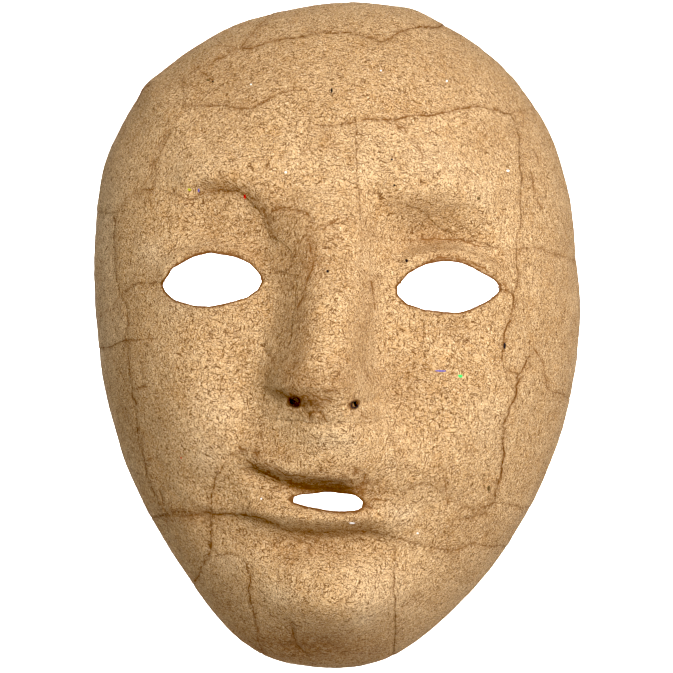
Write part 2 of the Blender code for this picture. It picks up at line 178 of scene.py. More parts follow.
BLIND_HOLES = ("left_nostril", "right_nostril")

# Torn edges between the outer sheets: how dark the line is, throughout or at even steps, and its points
OUTER_SEAMS = {
    "crown": ([0.7, 0.8, 0.9, 0.5, 0.7, 0.5, 0.5, 0.9, 0.9, 0.6], [(-17, 110), (-23, 103.5), (-28, 97.5),
        (-31.3, 92), (-25.5, 93), (-20, 95), (-12, 96.5), (-4, 98), (4, 98), (10, 96.7), (16, 95.5),
        (20, 98.5), (24.5, 101), (33, 102), (40, 106.5)]),
    "left_edge": ([0.8, 0.5, 0.3, 0.3, 0.5, 0.8, 0.6, 0.4, 0.5, 0.5, 0.8, 0.8, 0.7, 0.7, 0.5], [(-30.3, 93),
        (-36.5, 89.5), (-44, 86), (-50, 82), (-48.5, 76), (-48.5, 71), (-52, 66), (-54.5, 59), (-56.5, 52),
        (-57, 46), (-65, 44), (-69.5, 38), (-70, 30), (-69.5, 20), (-67.5, 12), (-64.5, 8), (-64.3, -2),
        (-63.5, -12), (-62.5, -20), (-61, -28), (-59.8, -36), (-58, -44), (-55.5, -52), (-51, -59.5)]),
    "left_temple": (0.3, [(-68.6, 38), (-85, 40)]),
    "left_side": ([0.3, 0.7], [(-82, -7), (-72, -5.5), (-68, -3.5), (-63.6, -3)]),
    "forehead": ([0.2, 0.4, 0.5, 0.7, 0.3, 0.1, 0.5, 0.7, 0.8, 0.8, 0.7, 0.8, 0.5, 0.3], [(-50, 73),
        (-43, 73), (-35, 73), (-28, 71.5), (-22, 74), (-17.5, 77.5), (-9, 78.5), (-7.5, 66.5), (-1, 67),
        (5, 67.8), (12, 69.2), (19, 69.5), (26, 71), (33, 72), (39, 73.5), (45, 75.3), (50, 74.5),
        (57, 73.5), (68, 77)]),
    "bridge_right": ([0.2, 0.6, 0.3, 0.3, 0.15, 0.2, 0.2, 0.1, 0.1, 0.1, 0.1, 0.1], [(7, 69), (7.3, 60),
        (7.5, 52), (8.5, 44), (9.3, 36), (10, 25), (11, 12), (11.5, 0), (12, -7), (18, -16), (20, -25),
        (10, -26.5), (0, -27.5), (-10, -26.5), (-20.8, -26)]),
    "brow_left": ([0.2, 0.4, 0.8, 0.8, 0.5, 0.2, 0.1, 0.1, 0.1, 0.15, 0.3, 0.6], [(-57.5, 47), (-50, 44),
        (-46, 42), (-41, 44.5), (-34, 45.8), (-28.5, 45), (-24.5, 41), (-21.5, 37), (-19.8, 32), (-12, 27),
        (-10, 15), (-12, -2), (-18.5, -12), (-20.3, -22), (-20, -31), (-21, -37.8)]),
    "nose_top": ([0.3, 0.5, 0.5, 0.3], [(-12.6, 26.6), (-7, 32.5), (0, 36), (4.5, 37), (10, 36.5)]),
    "brow_right": ([0.3, 0.3, 0.2, 0.4, 0.5, 0.3, 0.7, 0.6, 0.3], [(8.6, 36.3), (14, 41), (20, 43.5),
        (28, 41), (34, 36), (40, 32.5), (48, 31), (56, 29), (61, 30), (66, 30), (72, 28.5), (88, 26)]),
    "right_edge": ([0.3, 0.4, 0.5, 0.4, 0.3, 0.4, 0.5, 0.9, 1.0, 0.5, 0.9, 0.9, 0.9, 0.8, 0.6], [
        (56.8, 74.2), (60, 66), (60, 60), (60.5, 50), (60.5, 42), (60, 36), (59, 29), (59.8, 21),
        (58.5, 12), (57, 6), (55.8, 1), (55.3, -3), (55.8, -8.5), (61.3, -11), (60, -18), (58.3, -22.5),
        (56.5, -27), (56.5, -31), (57, -36), (57, -41), (55.5, -46), (55, -52.6)]),
    "right_side": ([0.8, 0.8, 0.7, 0.5, 0.3], [(60.4, -12.2), (63.3, -7), (65.5, -2), (68, -4.5),
        (69.8, -9), (70.5, -15), (84, -20)]),
    "left_inner_eye": (0.15, [(-24, 17.3), (-16, 20), (-10, 19)]),
    "left_outer_eye": ([0.6, 0.5, 0.4], [(-51.5, 15.3), (-55, 16.5), (-58, 15), (-62.5, 15.5),
        (-68, 10.4)]),
    "right_inner_eye": (0.15, [(23, 16.5), (17, 19), (9.6, 20.6)]),
    "right_outer_eye": ([0.6, 0.4], [(52.5, 17), (56.5, 16.5), (59.6, 13.6)]),
    "left_cheek": ([0.4, 0.2, 0.4, 0.7, 0.8, 0.6, 0.9, 0.9, 0.8, 0.7, 0.4], [(-20.2, -37), (-27, -37),
        (-31, -39.5), (-33.5, -44), (-35.2, -48), (-35.8, -53), (-36, -58), (-36, -64), (-36, -69),
        (-38.5, -75), (-45, -88)]),
    "upper_lip": ([0.6, 0.8, 0.8, 0.9, 0.9, 0.9, 0.6, 0.4, 0.4, 0.4, 0.6, 0.6, 0.5, 0.3], [(-27.5, -36.4),
        (-24.5, -40.5), (-20, -42.8), (-15, -45), (-10, -46.8), (-4, -47.8), (4, -47.6), (11, -47.3),
        (14, -45.5), (19, -48), (24, -49), (29, -46), (33, -45.7), (40, -51), (48, -55), (55, -52),
        (80, -56)]),
    "right_lip": (0.15, [(19.8, -24), (21.5, -35), (23.5, -49.8)]),
    "lower_lip": ([0.3, 0.6, 0.8, 0.8, 0.7, 0.6, 0.4, 0.5, 0.5, 0.7, 0.6, 0.5], [(-64, -64), (-50, -58.5),
        (-46, -57.5), (-41, -58), (-36, -57.5), (-30, -57.3), (-22, -57.6), (-17.5, -59.5), (-11, -61.8),
        (-2, -62.3), (5, -62), (12, -61.2), (19, -62.2), (26, -64.5), (33, -66.5), (41, -67.7), (49, -65.5),
        (70, -69)]),
    "chin_right": ([0.2, 0.35, 0.5, 0.3, 0.2],
        [(23, -62.6), (23, -73), (23.3, -84), (24, -92), (24.5, -112)]),
    "chin_left": ([0.6, 0.5, 0.9, 0.9, 0.9, 0.7, 0.3], [(-36.8, -67.4), (-33, -71), (-27.5, -70.5),
        (-24.5, -73), (-23.3, -77), (-23, -84), (-21.5, -91), (-17, -114)]),
}

# One point in x and z on each outer sheet, from the lowest sheet of the pile to the highest
OUTER_SHEETS = {
    "left_side_lower": (-66, -25), "left_side_upper": (-72, 15), "left_temple": (-65, 60),
    "left_jaw": (-44, -66), "left_chin": (-31, -80), "left_cheek": (-40, -15), "left_brow": (-38, 32),
    "middle_chin": (0, -85), "right_chin": (35, -78), "right_cheek": (38, -15), "forehead_left": (-25, 60),
    "right_brow": (28, 33), "forehead_right": (35, 60), "mouth": (-24, -50), "upper_lip": (0, -38),
    "nose": (0, 0), "forehead_top": (0, 90), "right_temple": (69, 50), "right_side_upper": (68, 12),
    "right_side_lower": (66, -35), "crown": (0, 105),
}

LINING_SEAMS = {
    "lining_brow": (0.6, [(-95, 56), (-40, 50), (0, 54), (45, 48), (95, 58)]),
    "lining_nose_left": (0.6, [(-15, 55), (-14, 30), (-25, -20), (-21, -38)]),
    "lining_nose_right": (0.6, [(16, 55), (15, 30), (25, -20), (22, -38)]),
    "lining_lip": (0.6, [(-95, -40), (-45, -34), (0, -37), (40, -33), (95, -42)]),
}
LINING_SHEETS = {
    "lining_left_cheek": (-50, -10), "lining_right_cheek": (50, -10), "lining_chin": (0, -80),
    "lining_forehead": (0, 80), "lining_nose": (0, 0),
}

# Creases and pleats in the outer paper, their dark lines partly painted shade: how dark, how deep, how
# wide, and the points in x and z
CREASES = [
    # forehead and temples
    (0.7, 0.12, 0.5, [(18.6, 69.5), (23.5, 65), (27, 61.5), (28.6, 56)]),
    (0.4, 0.12, 0.6, [(-10, 64.4), (-6, 66.4), (-3, 64), (-1.6, 60.6)]),
    (0.4, 0.1, 0.6, [(-11, 57.6), (-5, 60), (1, 61), (4, 62.4)]),
    (0.6, 0.1, 0.4, [(-21, 54), (-20.8, 51.4)]),
    (0.6, 0.2, 0.7, [(63.5, 56), (65, 50), (66.5, 46), (68.5, 42)]),
    (0.6, 0.2, 0.5, [(64.2, 63), (66, 60), (67.4, 57)]),
    (0.9, 0.2, 0.6, [(-66.6, 74.6), (-63.4, 79), (-59.5, 82)]),
    (0.5, 0.15, 0.7, [(-52, 66), (-56, 60), (-58, 52), (-60, 46)]),
    (0.7, 0.15, 0.7, [(-44.5, 84.4), (-42, 83.6), (-41, 81.4), (-38.4, 81)]),
    (0.6, 0.12, 0.5, [(-37, 93.6), (-33.6, 93), (-31.4, 91.6)]),
    # brows, bridge and eyes
    (0.7, 0.2, 1.6, [(-41, 44.4), (-36, 45.6), (-29.5, 45.2), (-25, 41.5)]),
    (0.9, 0.12, 0.5, [(-28, 45.3), (-22.7, 41.6), (-20.6, 37.9), (-19.6, 33.7), (-16.4, 29.5)]),
    (0.9, 0.1, 0.5, [(-19.6, 39.1), (-13.8, 40.5), (-8.5, 39.2), (-6.1, 36.3), (-6.4, 29.5), (-5.3, 22.6),
        (-7.5, 14.7), (-10.6, 7.3)]),
    (0.8, 0.1, 0.4, [(-3.3, 32.7), (1.4, 36.8), (6.8, 36.8), (10.9, 35.9)]),
    (0.7, 0.1, 0.4, [(-1.8, 32.1), (3, 30.8), (5.2, 29.9)]),
    (0.7, 0.1, 0.5, [(12.5, 18.8), (13.7, 14.7), (14, 7.3)]),
    (0.7, 0.1, 0.9, [(24, 31), (30, 31.6), (40, 32), (49, 29.6)]),
    (0.9, 0.15, 0.6, [(28.5, 23), (33, 25.6), (38, 26), (45, 24.6), (52, 20.4)]),
    (0.7, 0.1, 0.5, [(-52.5, 18), (-46, 23.6), (-38, 26), (-30, 24.8), (-24, 22)]),
    (0.9, 0.15, 0.5, [(54, 18.7), (56.4, 17), (54.6, 14.4)]),
    # mouth
    (1.0, 0.25, 1.1, [(-24, -41), (-17.5, -44.8), (-10, -46.6), (-3, -47.4), (5, -47.2), (10.2, -48.6)]),
    (0.8, 0.1, 1.0, [(-47, -59.4), (-40, -58), (-30, -57.6), (-22, -57.8), (-17, -59.6), (-11, -61.8),
        (-2, -62.4), (9, -61.6), (19, -62.2)]),
    (0.9, 0.2, 0.6, [(12.4, -52.8), (14, -53.6), (16.4, -54)]),
    (0.8, 0.1, 0.5, [(11.2, -48.6), (13, -46.4), (15, -44.2)]),
    (0.6, 0.1, 0.4, [(3.6, -40.6), (7.4, -41.6), (10.6, -45)]),
    (0.6, 0.1, 0.4, [(7.4, -39), (9, -41.4), (11.4, -44.6)]),
    # nose
    (0.9, 0.2, 1.0, [(-17, -17.6), (-12, -18.8), (-6, -19.4), (-2.6, -20.6)]),
    (0.7, 0.1, 0.4, [(-6, -17.2), (-3, -18.6), (-1, -19)]),
    (0.6, 0.1, 0.4, [(-2, -15.8), (1, -16.8), (4, -16.4)]),
    (0.7, 0.1, 0.4, [(-7.6, -24.2), (-5, -23.8), (-2, -24.6)]),
    (0.6, 0.1, 0.4, [(-4, -22), (-2.4, -24), (-1.6, -26.6)]),
    (0.6, 0.1, 0.4, [(-5, -20.8), (-2, -21.6), (0, -23.4)]),
    (0.5, 0.1, 0.4, [(9.6, -24), (12, -25.4), (15, -25.4)]),
    (1.2, 0.12, 0.4, [(-12.4, -17.6), (-8, -19), (-4.6, -19.2)]),
    (1.2, 0.12, 0.4, [(-8.4, -22.6), (-5.6, -21.6), (-2.2, -22)]),
    (1.2, 0.1, 0.4, [(-7.6, -20.2), (-4.4, -20.6), (-1.6, -19.6), (2, -19.8)]),
    (1.1, 0.1, 0.4, [(-5.4, -22.6), (-5, -25.4), (-6.4, -28.4)]),
    (1.0, 0.1, 0.4, [(-3, -23), (-0.6, -25.2), (0.4, -28)]),
    # pleats round the mouth
    (0.9, 0.12, 0.4, [(9.6, -46.8), (12.4, -45), (13.6, -42)]),
    (0.8, 0.1, 0.4, [(5.4, -44.8), (8.8, -43.4), (11.2, -40.4)]),
    (0.8, 0.1, 0.4, [(13.6, -51.8), (17, -51), (20.4, -51.8)]),
    (0.8, 0.1, 0.4, [(-9, -44.4), (-4, -45.4), (2, -45.2), (7, -46)]),
    (1.0, 0.1, 0.4, [(-19, -42.6), (-13, -45.4), (-8, -46)]),
    (1.0, 0.15, 0.5, [(-16, -46.4), (-9, -48.4), (-2, -48.6), (6, -48.4), (10.6, -50.4)]),
    (1.0, 0.12, 0.4, [(4, -42.4), (8.6, -45.6), (11.4, -48.4), (12, -51)]),
    (1.0, 0.12, 0.4, [(12.2, -54), (8, -55.6), (2, -55.4)]),
    (0.9, 0.12, 0.4, [(-24, -36.4), (-18, -40.6), (-12, -43.6), (-5, -44.6)]),
    # wings of the nose
    (0.6, 0.1, 0.4, [(-20, -3.4), (-19, -6.8), (-16.8, -7.8), (-18.6, -9)]),
    (0.4, 0.1, 0.4, [(11, -6), (12.6, -12), (16, -16.4)]),
    # chin, jaw and cheeks
    (0.9, 0.3, 0.6, [(-9.5, -90.6), (-9, -96), (-7.5, -101), (-3.6, -105)]),
    (0.5, 0.1, 0.5, [(-4.6, -66.6), (-4, -69), (-2.6, -70.6)]),
    (0.5, 0.12, 0.9, [(24.5, -87), (29, -83.5), (33, -80)]),
    (0.6, 0.15, 0.6, [(-53.6, -50), (-52.5, -55), (-50.8, -60), (-51.4, -65)]),
    (0.7, 0.1, 0.4, [(-62.2, -20), (-60.6, -18), (-58.6, -17.4), (-57, -18.4)]),
    (0.6, 0.1, 0.4, [(-58.4, -42.6), (-57, -41), (-53.6, -40.6)]),
    (0.6, 0.1, 0.5, [(-28.6, -34), (-27, -36), (-23, -37.4)]),
    (0.6, 0.15, 0.8, [(37.4, -40), (38.3, -46), (39.2, -53)]),
    (0.6, 0.15, 0.7, [(40, -58), (46, -57.4), (53.4, -55.4)]),
]

# Patches of paper darker with paste stains and painted shade, or paler with painted light where below zero,
# in the form of RELIEF
PASTE_STAINS_AND_PAINTED_SHADING = [
    # forehead
    (-35, 90, 20, 7, 0.15, 30), (-15, 86, 20, 8, 0.12, 0), (25, 89, 24, 9, 0.14, 0),
    (-34, 73, 18, 11, 0.24, 0), (34, 58, 12, 7, -0.12, 0), (50, 66, 13, 9, 0.27, 0),
    # brows and eyes
    (-34, 46, 9, 3, 0.5, 4), (-21, 44, 8, 6, 0.28, -30), (-15, 37, 9, 6, 0.4, 0), (-36, 35, 13, 6, 0.28, 0),
    (-24, 24, 6, 5, 0.5, 0), (-11, 24, 7, 6, 0.25, 0), (28, 43, 13, 5, 0.3, 0), (29, 33, 12, 4.5, 0.42, 0),
    (19.5, 25, 3, 3, 0.45, 0), (47, 46, 6, 5, -0.16, 0), (57, 46, 5, 6, 0.22, 0),
    (38, 25.5, 11, 2, 0.6, -6), (-38, 26, 10, 2, 0.3, 0), (-57, 25, 5, 5, -0.25, 0),
    (-74, 35, 5, 28, -0.25, 0), (-73, -15, 5, 24, -0.22, 0), (-65, -45, 5, 12, -0.2, 0),
    (56, 25, 5, 4, 0.3, 0),
    # nose
    (-5, 25, 5, 8, 0.5, 0), (4, 24, 5, 8, 0.2, 0), (0, 59, 3, 4, 0.25, 0), (12, 33, 3, 3, 0.3, 0),
    (-13, 14, 5, 20, 0.25, -5), (-6, 8, 4, 12, 0.35, -8), (-8, 1, 4, 8, 0.32, 0), (8, 2, 5, 14, 0.28, 0),
    (-11, -13, 5, 7, 0.55, 0), (0, -15, 8, 5, 0.5, 0), (3, -8, 5, 5, 0.36, 0), (-10, -7, 4, 5, 0.22, 0),
    (24, -15, 9, 8, 0.35, 0), (-6, -21, 6, 3.5, 0.5, 0),
    # cheeks
    (-36, -25, 12, 13, -0.2, 0), (-37, -41, 6, 6, -0.24, 0), (-12, -36, 4, 3, 0.2, 0),
    (-49, 10, 8, 7, -0.25, 0), (50, -26, 10, 14, -0.16, 0), (39, 3, 8, 5, 0.28, 0),
    # mouth
    (3, -33, 9, 5, -0.2, 0), (-19, -37, 8, 5, 0.3, -25), (-2, -48.0, 14, 2.6, 1.0, 0),
    (12, -53, 3, 1.8, 0.9, 0), (8, -48.6, 6, 1.6, 0.9, 0), (0, -43.5, 6, 2.6, 0.3, 0),
    (-41, -58.5, 13, 3, 0.6, 0), (-25, -43.5, 3, 3, 0.2, 0), (13, -58.5, 6, 3, 0.35, 0),
    (-21, -55, 4, 2, 0.25, 0), (22, -57, 8, 4, -0.2, 0), (26, -55, 4, 2, -0.25, 0),
    # jaw and chin
    (50, -59, 6, 4, 0.25, 0), (42, -67, 9, 8, 0.2, 0), (-3, -64.5, 19, 4.5, 0.62, 0),
    (-10, -73, 4, 4, 0.4, 0), (-31, -74, 5, 5, -0.2, 0), (-13, -83, 6, 4, -0.3, 0),
    (13, -92, 4, 5, -0.25, 0), (16, -80, 10, 11, -0.28, 0), (-30, -86, 8, 7, 0.2, 0),
    (-4, -101, 27, 7, 0.85, 0),
]
# How far a whole sheet may be darker or paler, and how much farther from the rim its edge counts for colour
SHEET_TONE = 0.07
RIM_TONE_GAP = 0.5


# ---------------------------------------------------------------- small mathematics
def smooth(t):
    t = np.clip(t, 0.0, 1.0)
    return t * t * (3 - 2 * t)


def rim_radius(angle):
    """Distance from the origin to the rim: a smooth closed curve through RIM_RADII."""
    radii = np.array(RIM_RADII)
    place = (angle / math.tau) % 1.0 * len(radii)
    first = np.floor(place).astype(int)
    t = place - first
    a, b, c, d = (radii[(first + step) % len(radii)] for step in (-1, 0, 1, 2))
    radius = b + 0.5 * t * (c - a + t * (2 * a - 5 * b + 4 * c - d + t * (3 * (b - c) + d - a)))
    for middle, height, reach in RIM_BUMPS:
        apart = (np.degrees(angle) - middle + 180) % 360 - 180
        radius = radius + height * np.exp(-(apart / reach) ** 2)
    return radius


def rise(x, z, shape):
    """One soft elliptical rise or hollow."""
    centre_x, centre_z, half_x, half_z, height, tilt = shape
    turn = math.radians(tilt)
    along = (x - centre_x) * math.cos(turn) + (z - centre_z) * math.sin(turn)
    across = (z - centre_z) * math.cos(turn) - (x - centre_x) * math.sin(turn)
    return height * np.exp(-(along / half_x) ** 2 - (across / half_z) ** 2)


def fold(x, z, shape):
    """A ridge or valley along a line, fading out towards the line's ends."""
    height, above, below, points = shape
    corners = np.array(points, float)
    spans = np.diff(corners, axis=0)
    lengths = np.linalg.norm(spans, axis=1)
    starts = np.concatenate([[0], np.cumsum(lengths)])
    nearest_gap = np.full(np.shape(x), np.inf)
    is_above = np.zeros(np.shape(x), bool)
    along = np.zeros(np.shape(x))
    for (start_x, start_z), (span_x, span_z), length, start in zip(corners, spans, lengths, starts):
        share = np.clip(((x - start_x) * span_x + (z - start_z) * span_z) / length ** 2, 0, 1)
        off_x, off_z = x - start_x - share * span_x, z - start_z - share * span_z
        gap = np.hypot(off_x, off_z)
        closer = gap < nearest_gap
        nearest_gap = np.where(closer, gap, nearest_gap)
        is_above = np.where(closer, span_x * off_z - span_z * off_x > 0, is_above)
        along = np.where(closer, start + share * length, along)
    fade = min(FOLD_FADE, starts[-1] / 3)
    ends = smooth(np.minimum(along, starts[-1] - along) / fade)
    return height * ends * np.exp(-(nearest_gap / np.where(is_above, above, below)) ** 2)


def rim_share(x, z):
    """How far out a point is, as a share of the way from the middle to the rim."""
    return np.hypot(x, z) / rim_radius(np.arctan2(z, x))


def face_height(x, z):
    """Height of the smooth front surface above the rim plane."""
    rho = np.minimum(rim_share(x, z), 1.0)
    dome = DOME_HEIGHT * (1 - rho ** DOME_FLATNESS) ** (1 / DOME_ROUNDNESS)
    relief = sum(rise(x, z, shape) for shape in RELIEF.values())
    relief = relief + sum(fold(x, z, shape) for shape in FOLDS)
    height, left, right, shift = (np.interp(z, NOSE[:, 0], NOSE[:, column]) for column in (1, 2, 3, 4))
    half_width = np.where(x < shift, left, right)
    relief = relief + height * np.exp(-(np.abs(x - shift) / half_width) ** NOSE_SQUARENESS)
    return dome + relief * (1 - smooth((rho - RELIEF_WHOLE) / (1 - RELIEF_WHOLE)))


def noise(points, size, seed):
    """Smooth random values from -1 to 1 at points in space, about size apart."""
    cells = 40
    values = np.random.default_rng(seed).random((cells, cells, cells)) * 2 - 1
    place = points / size + 1000.0
    low = np.floor(place).astype(int)
    part = place - low
    part = part * part * part * (part * (part * 6 - 15) + 10)
    total = 0.0
    for corner in np.ndindex(2, 2, 2):
        weight = np.prod(np.where(corner, part, 1 - part), axis=-1)
        i, j, k = np.moveaxis((low + corner) % cells, -1, 0)
        total = total + weight * values[i, j, k]
    return total


# ---------------------------------------------------------------- grid over the face
class Grid:
    """Points of the smooth surface, evenly spaced along it from the middle to the rim."""

    def __init__(self, columns, rows):
        u, v = np.meshgrid(np.linspace(-1, 1, columns), np.linspace(-1, 1, rows), indexing="ij")
        disc_x = u * np.sqrt(1 - v * v / 2)
        disc_z = v * np.sqrt(1 - u * u / 2)
        angle = np.arctan2(disc_z, disc_x)
        radius = self.even_radius(np.hypot(disc_x, disc_z)) * rim_radius(angle)
        self.x = radius * np.cos(angle)
        self.z = radius * np.sin(angle)
        self.points = surface_points(self.x, self.z)
        along_u, along_v = np.gradient(self.points, axis=0), np.gradient(self.points, axis=1)
        normals = np.cross(along_u, along_v)
        normals *= -np.sign(normals[columns // 2, rows // 2, 1])
        self.edge = np.zeros(u.shape, bool)
        self.edge[[0, -1], :] = True
        self.edge[:, [0, -1]] = True
        normals[self.edge, 1] = 0
        for corner in ((0, 0), (0, -1), (-1, 0), (-1, -1)):
            normals[corner] = (self.x[corner], 0.0, self.z[corner])
        self.normals = normals / np.linalg.norm(normals, axis=-1, keepdims=True)
        self.rim_distance = np.abs(self.points[..., 1])

    @staticmethod
    def even_radius(share):
        """Turns a share of the way along the surface into a share of the rim's radius."""
        rho = 1 - (1 - np.linspace(0, 1, 3000)) ** 3
        height = DOME_HEIGHT * (1 - rho ** DOME_FLATNESS) ** (1 / DOME_ROUNDNESS)
        steps = np.hypot(np.diff(rho) * np.mean(RIM_RADII), np.diff(height))
        along = np.concatenate([[0], np.cumsum(steps)])
        return np.interp(share, along / along[-1], rho)


def surface_points(x, z):
    return np.stack([x, -face_height(x, z), z], axis=-1)


# ---------------------------------------------------------------- torn lines
LINE_STEP = 0.15
# Raggedness of a torn line: distances between its random shifts and their amounts
WOBBLE = ((2.4, 0.35), (0.7, 0.14))
HOLE_WOBBLE, HOLE_REACH = 0.35, 3
SEAM_DEPTH, SEAM_WIDTH = 0.05, 0.4
CREASE_FADE = 1.5
HOLE_SEED, CREASE_SEED = 500, 900
OUTER_SEED, LINING_SEED = 100, 300
FAR = 1e3


def torn_line(points, seed, closed=False, wobble=1.0, reach=8):
    """Points close together along a line, with rounded corners and a ragged wobble, and their normals."""
    corners = np.array(points + points[:1] if closed else points, float)
    lengths = np.concatenate([[0], np.cumsum(np.linalg.norm(np.diff(corners, axis=0), axis=1))])
    places = np.arange(0, lengths[-1], LINE_STEP)
    line = np.stack([np.interp(places, lengths, corners[:, axis]) for axis in (0, 1)], axis=1)
    mode = "wrap" if closed else "edge"
    padded = np.pad(line, ((reach, reach), (0, 0)), mode=mode)
    line = sum(padded[shift:shift + len(line)] for shift in range(2 * reach + 1)) / (2 * reach + 1)
    slope = np.gradient(line, axis=0)
    slope /= np.linalg.norm(slope, axis=1, keepdims=True) + 1e-9
    normal = np.stack([-slope[:, 1], slope[:, 0]], axis=1)
    random = np.random.default_rng(seed)
    for size, amount in WOBBLE:
        knots = random.uniform(-1, 1, int(lengths[-1] / size) + 3)
        if closed:
            knots[-2:] = knots[:2]
        shift = np.interp(places / size, np.arange(len(knots)), knots)
        line = line + normal * (shift * amount * wobble)[:, None]
    return line, normal


def nearest(targets, queries):
    """For each query point, the index of and the distance to the nearest target, in x and z."""
    if len(targets) == 0:
        return np.zeros(len(queries), int), np.full(len(queries), FAR)
    tree = kdtree.KDTree(len(targets))
    for index, (x, z) in enumerate(targets.tolist()):
        tree.insert((x, z, 0), index)
    tree.balance()
    found = [tree.find((x, z, 0)) for x, z in queries.tolist()]
    return np.array([item[1] for item in found]), np.array([item[2] for item in found])


class Marks:
    """Every line on one side of the mask: torn edges, outlines of the openings and creases."""

    def __init__(self, seams, creases, seed, skipped=()):
        parts = []
        for step, (ink, points) in enumerate(seams.values()):
            parts.append(self.part(torn_line(points, seed + step), "seam", ink, SEAM_DEPTH, SEAM_WIDTH))
        for step, (name, (centre, offsets)) in enumerate(HOLES.items()):
            if name in skipped:
                continue
            outline = [(centre[0] + x, centre[1] + z) for x, z in offsets]
            line = torn_line(outline, HOLE_SEED + step, True, HOLE_WOBBLE, HOLE_REACH)
            parts.append(self.part(line, "hole", 0.0, 0.0, 1.0))
        for step, (ink, depth, width, points) in enumerate(creases):
            parts.append(self.part(torn_line(points, CREASE_SEED + step), "crease", ink, depth, width))
        self.points, self.normals, self.kind, self.ink, self.depth, self.width = (
            np.concatenate([part[column] for part in parts]) for column in range(6))

    @staticmethod
    def part(line, kind, ink, depth, width):
        points, normals = line
        count = len(points)
        ink = np.interp(np.linspace(0, 1, count), np.linspace(0, 1, np.size(ink)), np.atleast_1d(ink))
        ends = np.minimum(np.arange(count), np.arange(count)[::-1]) * LINE_STEP
        fade = smooth(ends / CREASE_FADE) if kind == "crease" else np.ones(count)
        return (points, normals, np.full(count, kind), ink * fade, depth * fade, np.full(count, width))

    def bounding(self):
        """Indices of the points that part sheets or bound openings."""
        return np.flatnonzero(self.kind != "crease")


# ---------------------------------------------------------------- which sheet each point belongs to
RASTER = 0.5
SIDE_STEP = 0.9
HALF_WIDTH, HALF_HEIGHT = 92.0, 120.0
HOLE, UNKNOWN = 0, -1
RIM_MARGIN = 1.01
FILL_ROUNDS, WALL_ROUNDS = 2000, 4


class Regions:
    """A map of the sheets, filled outwards from one point on each, with the torn lines as walls."""

    def __init__(self, marks, sheets, is_lining=False):
        chosen = marks.bounding()
        self.lines = marks.points[chosen]
        self.normals = marks.normals[chosen]
        shape = (int(2 * HALF_WIDTH / RASTER), int(2 * HALF_HEIGHT / RASTER))
        self.map = np.full(shape, UNKNOWN)
        i, j = np.indices(shape)
        x, z = (i + 0.5) * RASTER - HALF_WIDTH, (j + 0.5) * RASTER - HALF_HEIGHT
        wall = rim_share(x, z) > RIM_MARGIN
        wall[self.cell(self.lines)] = True
        for name, (centre, _) in HOLES.items():
            if not (is_lining and name in BLIND_HOLES):
                self.map[self.cell(np.array([centre]))] = HOLE
        for rank, seed in enumerate(sheets.values(), 1):
            self.map[self.cell(np.array([seed], float))] = rank
        self.fill(~wall, FILL_ROUNDS)
        self.fill(np.ones(shape, bool), WALL_ROUNDS)
        self.left = self.map[self.cell(self.lines + self.normals * SIDE_STEP)]
        self.right = self.map[self.cell(self.lines - self.normals * SIDE_STEP)]
        inside = rim_share(self.lines[:, 0], self.lines[:, 1]) < 1
        self.lines, self.normals = self.lines[inside], self.normals[inside]
        self.left, self.right = self.left[inside], self.right[inside]

    @staticmethod
    def cell(points):
        """The cells of the map that hold the points."""
        return tuple(np.clip(((points[:, axis] + half) / RASTER).astype(int), 0, int(2 * half / RASTER) - 1)
                     for axis, half in enumerate((HALF_WIDTH, HALF_HEIGHT)))

    def fill(self, free, rounds):
        for _ in range(rounds):
            before = (self.map == UNKNOWN).sum()
            for axis in (0, 1):
                for shift in (1, -1):
                    moved = np.roll(self.map, shift, axis)
                    empty = (self.map == UNKNOWN) & free & (moved != UNKNOWN)
                    self.map[empty] = moved[empty]
            if (self.map == UNKNOWN).sum() == before:
                break

    def label(self, grid):
        """Each grid point's sheet, the sheet across the nearest line, that line's point and the gap."""
        shape = grid.x.shape
        points = np.stack([grid.x.ravel(), grid.z.ravel()], axis=1)
        index, distance = nearest(self.lines, points)
        offset = points - self.lines[index]
        is_left = np.sum(offset * self.normals[index], axis=1) > 0
        near = np.where(is_left, self.left[index], self.right[index])
        across = np.where(is_left, self.right[index], self.left[index])
        own = np.where(distance < SIDE_STEP, near, self.map[self.cell(points)])
        return (own.reshape(shape), across.reshape(shape), self.lines[index].reshape(*shape, 2),
                distance.reshape(shape))


def grow(mask):
    """The mask and its eight neighbours."""
    padded = np.pad(mask, 1)
    rows, columns = mask.shape
    return np.any([padded[i:i + rows, j:j + columns] for i in range(3) for j in range(3)], axis=0)


# ---------------------------------------------------------------- meshes
SHARP_ANGLE = math.radians(50)
# Distance from a torn line at which none of its colour is left
NO_LINE = 5


def make_object(name, points, faces, attributes):
    mesh = bpy.data.meshes.new(name)
    mesh.from_pydata((points * MM).tolist(), [], faces.tolist())
    for key, values in attributes.items():
        mesh.attributes.new(key, 'FLOAT', 'POINT').data.foreach_set("value", values.astype(np.float32))
    mesh.validate()
    mesh.shade_smooth()
    mesh.set_sharp_from_angle(angle=SHARP_ANGLE)
    piece = bpy.data.objects.new(name, mesh)
    bpy.context.scene.collection.objects.link(piece)
    return piece


